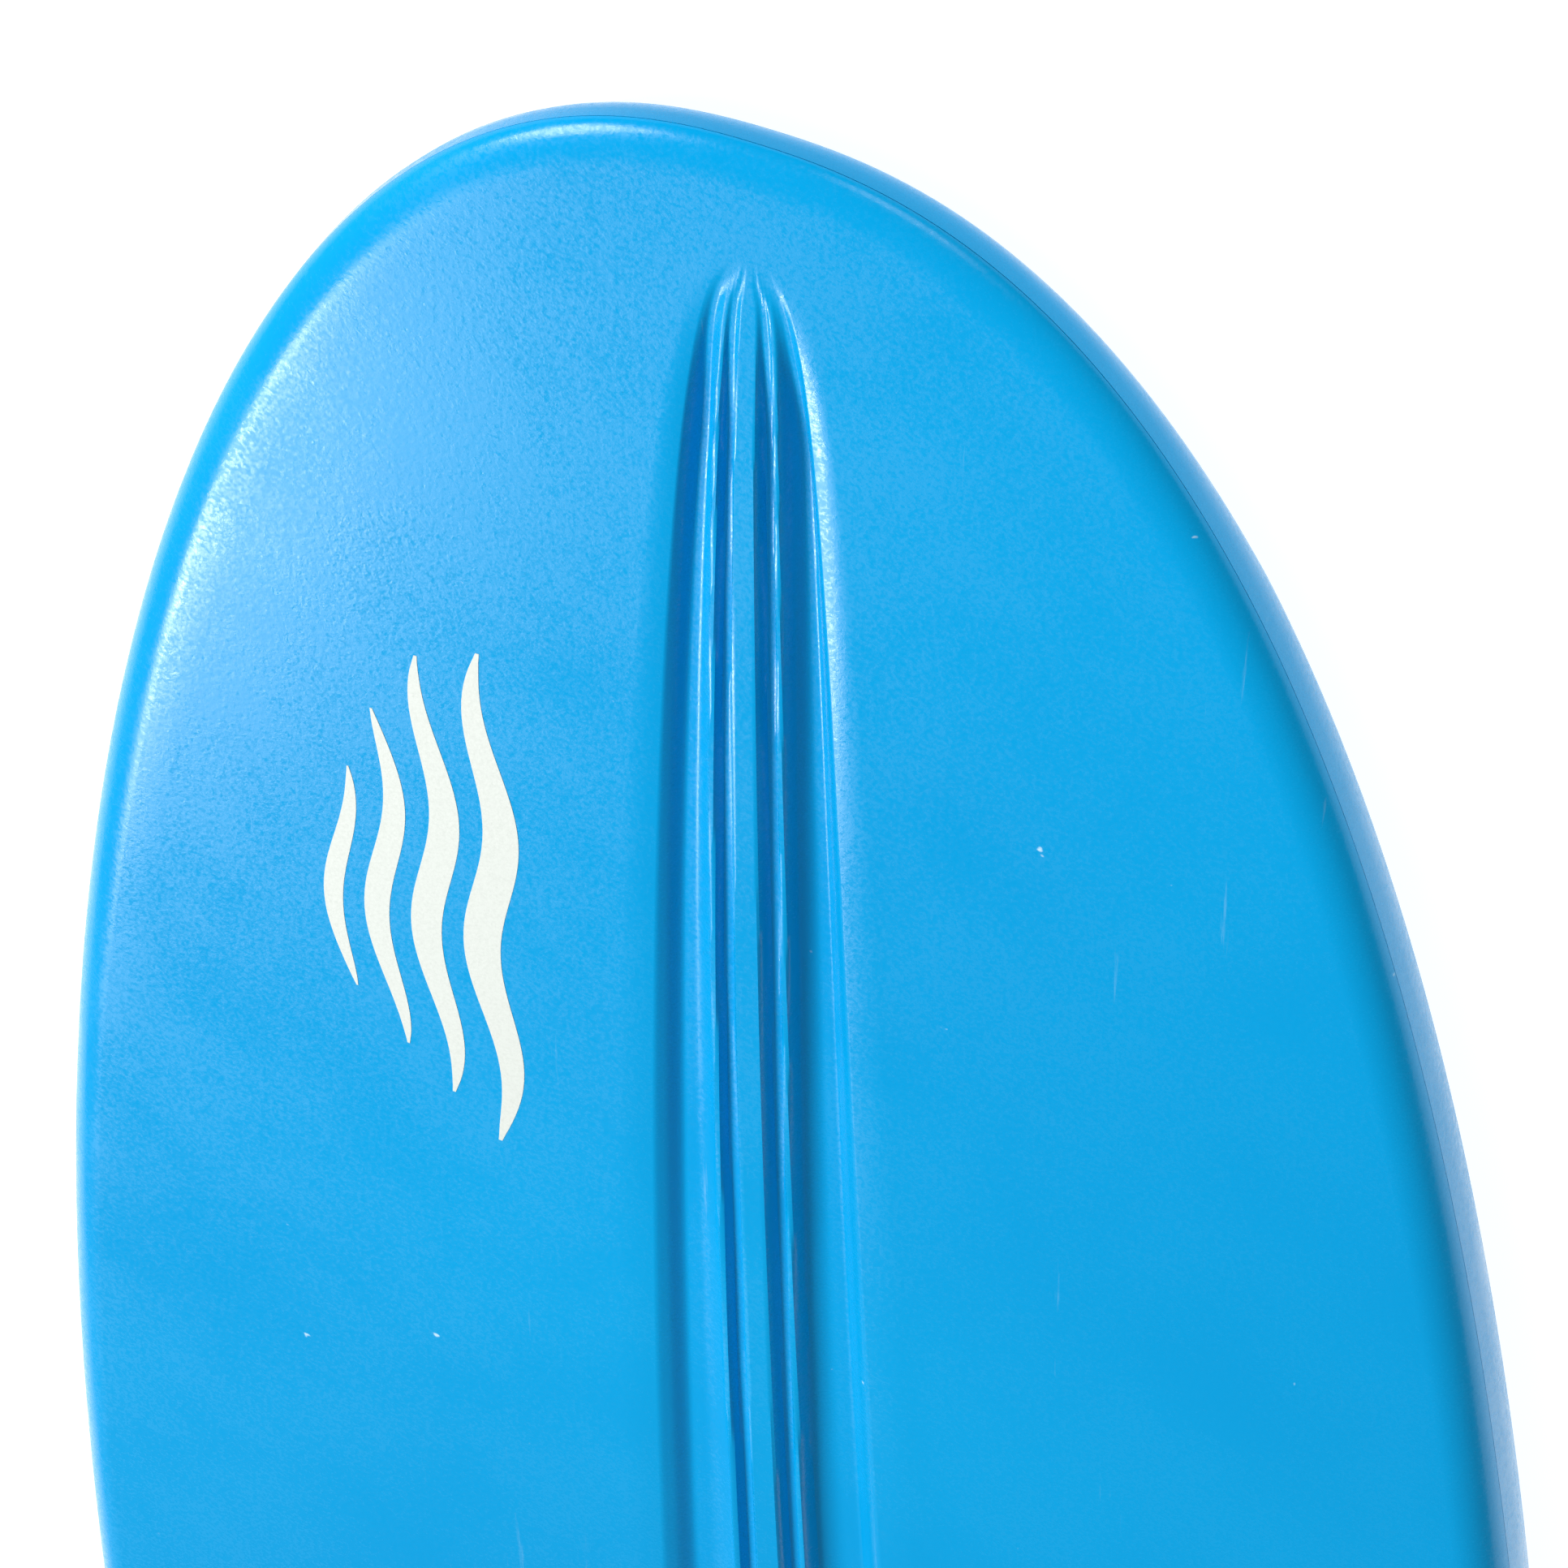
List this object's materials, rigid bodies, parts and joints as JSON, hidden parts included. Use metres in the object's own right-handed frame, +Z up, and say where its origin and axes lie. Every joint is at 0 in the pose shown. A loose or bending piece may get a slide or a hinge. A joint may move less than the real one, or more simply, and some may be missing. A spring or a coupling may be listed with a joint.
{
  "type": "stand up paddleboard",
  "caption": "Moulded stand up paddleboard lying hull up, with a keel channel, sliding fin, deck pads, carry handle, pad eyes, leash cup and vent plug.",
  "frame": {"origin": "on the floor, under the middle of the board's bounding box", "axes": "+X towards the nose, +Y to the left seen from above with the nose ahead, +Z up out of the hull: the board lies deck down on its nose and tail, so that the hull and fin are on top. For use on water it is turned half a turn about X"},
  "size_m": [3.05, 0.79, 0.3236],
  "materials": {
    "skin_blue": "satin",
    "foam_white": "matte",
    "black_plastic": "satin",
    "eva_grey": "matte",
    "webbing_black": "matte",
    "rubber_black": "matte",
    "stainless_steel": "satin",
    "brass": "satin"
  },
  "bodies": {
    "board": {"deck_shell": "skin_blue", "fin_box": "black_plastic", "foam_core": "foam_white", "handle_grip": "rubber_black", "handle_insert_1": "brass", "handle_insert_2": "brass", "handle_insert_3": "brass", "handle_insert_4": "brass", "handle_plate_front": "black_plastic", "handle_plate_rear": "black_plastic", "handle_screw_1": "stainless_steel", "handle_screw_2": "stainless_steel", "handle_screw_3": "stainless_steel", "handle_screw_4": "stainless_steel", "handle_strap": "webbing_black", "hull_shell": "skin_blue", "leash_bar": "stainless_steel", "leash_cup": "black_plastic", "pad_eye_1": "black_plastic", "pad_eye_2": "black_plastic", "pad_eye_3": "black_plastic", "pad_eye_4": "black_plastic", "pad_eye_insert_1a": "brass", "pad_eye_insert_1b": "brass", "pad_eye_insert_2a": "brass", "pad_eye_insert_2b": "brass", "pad_eye_insert_3a": "brass", "pad_eye_insert_3b": "brass", "pad_eye_insert_4a": "brass", "pad_eye_insert_4b": "brass", "pad_eye_screw_1a": "stainless_steel", "pad_eye_screw_1b": "stainless_steel", "pad_eye_screw_2a": "stainless_steel", "pad_eye_screw_2b": "stainless_steel", "pad_eye_screw_3a": "stainless_steel", "pad_eye_screw_3b": "stainless_steel", "pad_eye_screw_4a": "stainless_steel", "pad_eye_screw_4b": "stainless_steel", "traction_pad_front": "eva_grey", "traction_pad_middle": "eva_grey", "traction_pad_rear": "eva_grey", "vent_bush": "brass", "vent_o_ring": "rubber_black"},
    "fin": {"fin": "black_plastic", "fin_cross_pin": "stainless_steel", "fin_plate": "brass"},
    "fin_screw": {"fin_screw": "stainless_steel"},
    "vent_plug": {"vent_plug": "black_plastic"}
  },
  "joints": [
    {"name": "fin_slide", "type": "slide", "parent": "board", "child": "fin", "axis": [0.9969, 0, 0.0791], "range_m": [-0.034, 0.046]},
    {"name": "fin_screw_turn", "type": "hinge", "parent": "fin", "child": "fin_screw", "pos_m": [-1.09622, 0, 0.12774], "axis": [-0.0791, 0, 0.9969], "continuous": true},
    {"name": "vent_plug_turn", "type": "hinge", "parent": "board", "child": "vent_plug", "pos_m": [0.485, 0, 0.02605], "axis": [-0.0181, 0, -0.9998], "continuous": true}
  ]
}
